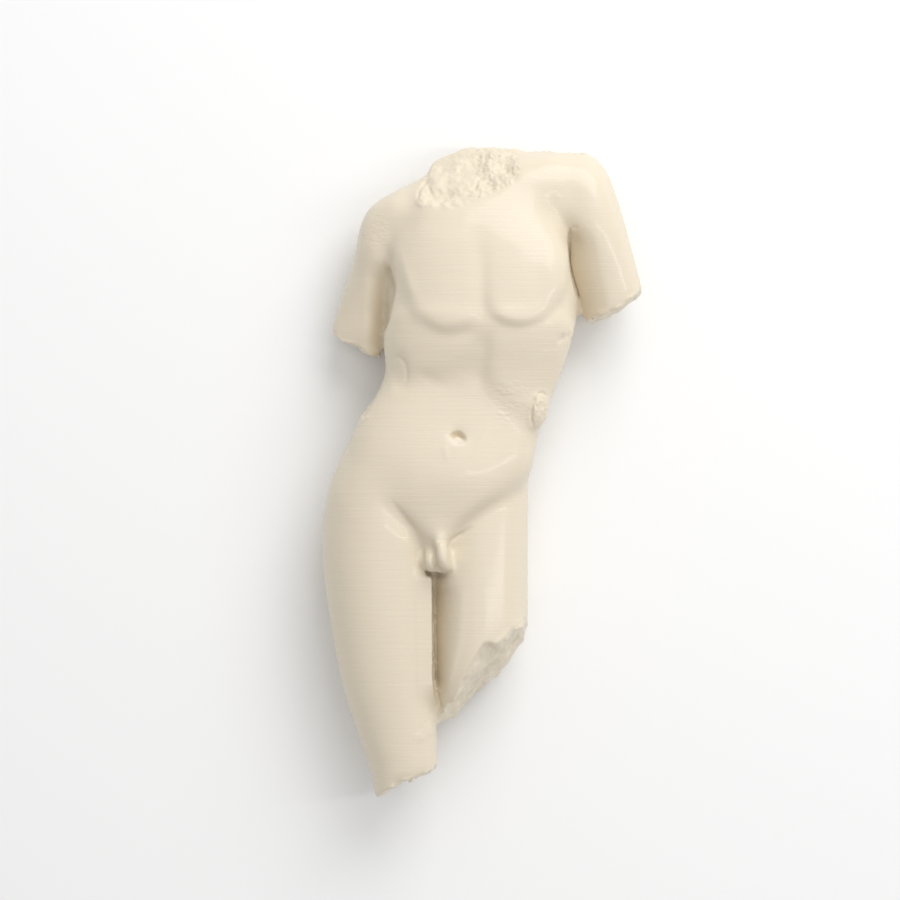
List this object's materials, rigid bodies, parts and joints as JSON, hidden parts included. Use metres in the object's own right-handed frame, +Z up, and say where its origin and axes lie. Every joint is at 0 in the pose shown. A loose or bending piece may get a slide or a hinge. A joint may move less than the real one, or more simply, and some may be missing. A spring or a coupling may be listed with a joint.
{
  "type": "broken male torso figurine",
  "caption": "Small ivory plastic copy of a broken classical marble figure: nude male torso with stubs of arms and thighs, lying on its back.",
  "frame": {"origin": "on the surface that the figure lies on, under the middle of its bounding box", "axes": "+Z up, out of the figure's chest; +Y along the body towards the neck; +X towards the figure's left side"},
  "size_m": [0.0988, 0.2016, 0.0414],
  "materials": {
    "ivory_plastic": "printed in fine layers, soft sheen"
  },
  "bodies": {
    "root": {"torso": "ivory_plastic"}
  },
  "joints": []
}
